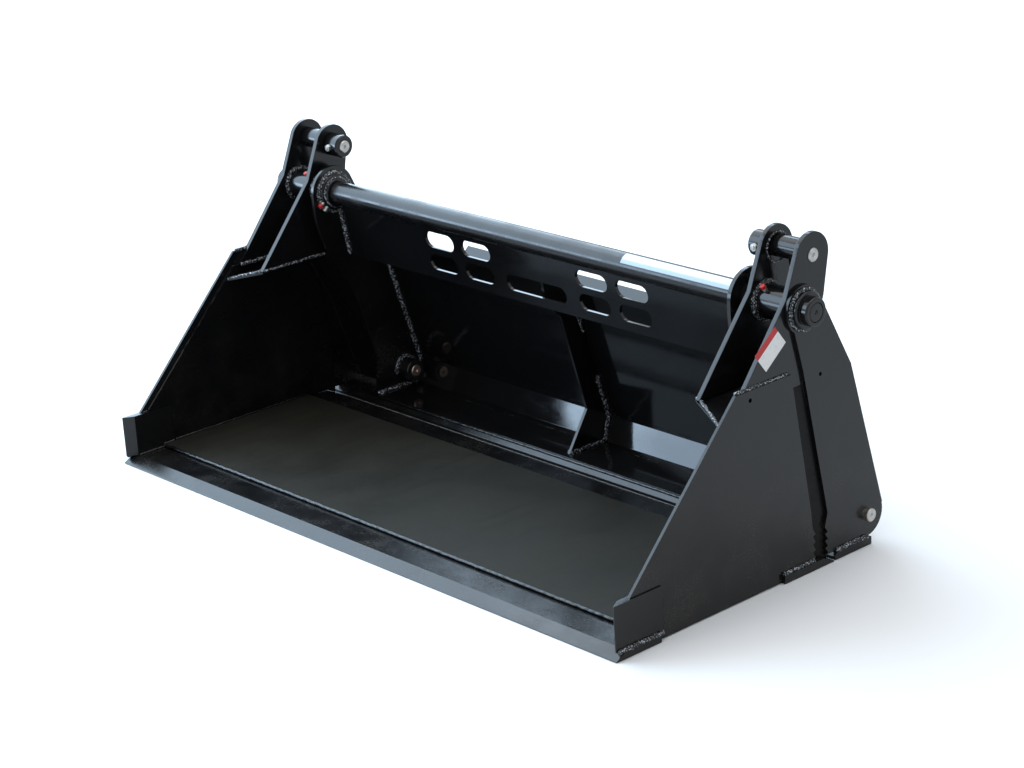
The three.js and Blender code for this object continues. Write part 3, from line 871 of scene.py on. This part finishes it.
class BUCKET_OT_grease_fittings(bpy.types.Operator):
    """Screw capped grease fittings into the pivot tubes and the inner bosses"""

    bl_idname = "bucket.grease_fittings"
    bl_label = "Grease Fittings"

    def execute(self, context):
        tube_x, tube_radius = 0.812, 0.0402
        boss_x, boss_radius = INNER_PLATE * MM - 0.006, 0.0478
        for side, sign in (("right", 1), ("left", -1)):
            self.fitting(f"tube_{side}", "clam", sign * tube_x, tube_radius, TUBE_LEAN, True)
            self.fitting(f"boss_{side}", "rear_frame", sign * boss_x, boss_radius, BOSS_LEAN, True)
            self.fitting(f"plug_{side}", "rear_frame", sign * boss_x, boss_radius, PLUG_LEAN, False)
        return {"FINISHED"}

    def fitting(self, title, body, x, seat_radius, degrees, capped):
        """A fitting that stands out from the pivot's axis, leaned forward by so many degrees."""
        steel = ((0.0, -0.002), (0.0055, -0.002), (0.0055, 0.005), (0.0042, 0.007), (0.0, 0.007))
        cap = ((0.0, 0.0065), (0.006, 0.0065), (0.0068, 0.009), (0.0056, 0.015), (0.0, 0.016))
        plug = ((0.0, -0.002), (0.008, -0.002), (0.008, 0.009), (0.0062, 0.012), (0.0, 0.012))
        if capped:
            self.turned_piece(f"grease_fitting_{title}", "zinc", "zinc", body, steel, x, seat_radius, degrees)
            self.turned_piece(f"grease_cap_{title}", "label_red", "paint", body, cap, x, seat_radius, degrees)
        else:
            self.turned_piece(f"grease_{title}", "zinc", "zinc", body, plug, x, seat_radius, degrees)

    def turned_piece(self, name, finish, slot, body, profile, x, seat_radius, degrees):
        """The profile, in radius and height, spun round its own axis and set on its seat."""
        bm = bmesh.new()
        verts = [bm.verts.new((r, 0, h)) for r, h in profile]
        edges = [bm.edges.new(pair) for pair in zip(verts, verts[1:])]
        bmesh.ops.spin(
            bm,
            geom=verts + edges,
            cent=(0, 0, 0),
            axis=(0, 0, 1),
            angle=math.tau,
            steps=SPIN_STEPS,
            use_merge=True,
            use_duplicate=False,
        )
        bmesh.ops.remove_doubles(bm, verts=bm.verts, dist=MERGE)
        bmesh.ops.recalc_face_normals(bm, faces=bm.faces)
        lean = Matrix.Rotation(math.radians(degrees), 4, "X")
        reach = Matrix.Translation((0, 0, seat_radius))
        seat = Matrix.Translation((x, PIVOT.y, PIVOT.z))
        bmesh.ops.transform(bm, matrix=seat @ lean @ reach, verts=bm.verts)
        shade(bm)
        place_piece(name, to_mesh(bm, name), finish, body)


class BUCKET_OT_stage(bpy.types.Operator):
    """Set up the pale floor, the soft light panels, the room and the camera"""

    bl_idname = "bucket.stage"
    bl_label = "Studio"

    def execute(self, context):
        studio = context.scene.bucket_studio
        self.floor(studio)
        target = Vector((0, 0, 0.35))
        self.panel("left_wall", (-5.6, -0.3, 3.3), target, (13.0, 6.0), studio.left_wall, (0.6, 0.8, 1.0))
        self.panel("low_panel", (-4.3, -4.4, 0.95), target, (4.6, 1.5), studio.low_panel, (0.56, 0.76, 1.0))
        self.panel("top_panel", (-0.5, 0.5, 5.5), target, (7.0, 6.0), studio.top_panel, (0.96, 0.98, 1.0))
        self.room(context.scene, studio)
        self.camera(context.scene, studio)
        context.scene.view_settings.view_transform = "Standard"
        return {"FINISHED"}

    def floor(self, studio):
        """Pale to the camera, and darker to the left in what the steel mirrors."""
        bm = bmesh.new()
        bmesh.ops.create_grid(bm, x_segments=1, y_segments=1, size=30.0)
        bmesh.ops.translate(bm, vec=(0, 0, -FLOOR_DROP), verts=bm.verts)
        made = Finish("studio_floor", studio.floor_colour, 0.9)
        made.shader.inputs["Specular IOR Level"].default_value = 0.1
        seen = made.add("ShaderNodeLightPath").outputs["Is Camera Ray"]
        across = made.add("ShaderNodeSeparateXYZ", {0: made.place}).outputs[0]
        towards_right = made.ranged(across, -3.2, -0.6, 0.0, 1.0)
        shaded = made.blended(towards_right, (0.05, 0.05, 0.05), (0.62, 0.62, 0.62))
        made.set("Base Color", made.blended(seen, shaded, studio.floor_colour))
        floor = bpy.data.objects.new("studio_floor", to_mesh(bm, "studio_floor"))
        bpy.context.scene.collection.objects.link(floor)
        floor.data.materials.append(made.material)

    def panel(self, name, place, target, size, brightness, colour):
        data = bpy.data.lights.new(name, "AREA")
        data.shape = "RECTANGLE"
        data.size, data.size_y = size
        data.energy = brightness * math.pi * size[0] * size[1]
        data.color = colour
        light = bpy.data.objects.new(name, data)
        light.location = place
        light.rotation_euler = (target - Vector(place)).to_track_quat("-Z", "Y").to_euler()
        bpy.context.scene.collection.objects.link(light)

    def room(self, scene, studio):
        world = bpy.data.worlds.new("studio_room")
        world.use_nodes = True
        tree = world.node_tree
        plain = tree.nodes["Background"]
        plain.inputs["Color"].default_value = (0.9, 0.95, 1.0, 1.0)
        plain.inputs["Strength"].default_value = studio.room
        white = tree.nodes.new("ShaderNodeBackground")
        white.inputs["Color"].default_value = (1.0, 1.0, 1.0, 1.0)
        white.inputs["Strength"].default_value = 1.0
        path = tree.nodes.new("ShaderNodeLightPath")
        mix = tree.nodes.new("ShaderNodeMixShader")
        tree.links.new(path.outputs["Is Camera Ray"], mix.inputs[0])
        tree.links.new(plain.outputs[0], mix.inputs[1])
        tree.links.new(white.outputs[0], mix.inputs[2])
        tree.links.new(mix.outputs[0], tree.nodes["World Output"].inputs[0])
        scene.world = world

    def camera(self, scene, studio):
        azimuth, elevation, roll = studio.camera_azimuth, studio.camera_elevation, studio.camera_roll
        level = math.cos(elevation)
        back = Vector((math.sin(azimuth) * level, -math.cos(azimuth) * level, math.sin(elevation)))
        right = Vector((math.cos(azimuth), math.sin(azimuth), 0.0))
        up = back.cross(right)
        right_rolled = right * math.cos(roll) + up * math.sin(roll)
        up_rolled = up * math.cos(roll) - right * math.sin(roll)
        data = bpy.data.cameras.new("studio_camera")
        data.sensor_width = SENSOR_WIDTH
        data.lens = studio.focal_length
        data.clip_end = 100.0
        camera = bpy.data.objects.new("studio_camera", data)
        turn = Matrix((right_rolled, up_rolled, back)).transposed()
        camera.matrix_world = Matrix.Translation(studio.camera_place) @ turn.to_4x4()
        scene.collection.objects.link(camera)
        scene.camera = camera


class BUCKET_PT_panel(bpy.types.Panel):
    """Lists the settings and the steps of the build"""

    bl_idname = "BUCKET_PT_panel"
    bl_label = "Combination Bucket"
    bl_space_type = "VIEW_3D"
    bl_region_type = "UI"
    bl_category = "Bucket"

    def draw(self, context):
        scene = context.scene
        for group in (scene.bucket_sizes, scene.bucket_colours, scene.bucket_studio):
            box = self.layout.box()
            for name in group.bl_rna.properties.keys():
                if name not in ("rna_type", "name"):
                    box.prop(group, name)
        for operator in OPERATORS:
            self.layout.operator(operator.bl_idname)


OPERATORS = (
    BUCKET_OT_stage,
    BUCKET_OT_clam_steel,
    BUCKET_OT_frame_steel,
    BUCKET_OT_pins,
    BUCKET_OT_cylinders,
    BUCKET_OT_welds,
    BUCKET_OT_labels,
    BUCKET_OT_grease_fittings,
)
CLASSES = (BucketSizes, BucketColours, StudioSettings, *OPERATORS, BUCKET_PT_panel)


def register():
    for cls in CLASSES:
        bpy.utils.register_class(cls)
    bpy.types.Scene.bucket_sizes = PointerProperty(type=BucketSizes)
    bpy.types.Scene.bucket_colours = PointerProperty(type=BucketColours)
    bpy.types.Scene.bucket_studio = PointerProperty(type=StudioSettings)


def unregister():
    del bpy.types.Scene.bucket_studio
    del bpy.types.Scene.bucket_colours
    del bpy.types.Scene.bucket_sizes
    for cls in reversed(CLASSES):
        bpy.utils.unregister_class(cls)


def main():
    register()
    make_finishes(bpy.context.scene.bucket_colours)
    bpy.ops.bucket.stage()
    bpy.ops.bucket.clam_steel()
    bpy.ops.bucket.frame_steel()
    bpy.ops.bucket.pins()
    bpy.ops.bucket.cylinders()
    bpy.ops.bucket.welds()
    bpy.ops.bucket.labels()
    bpy.ops.bucket.grease_fittings()


if __name__ == "__main__":
    main()
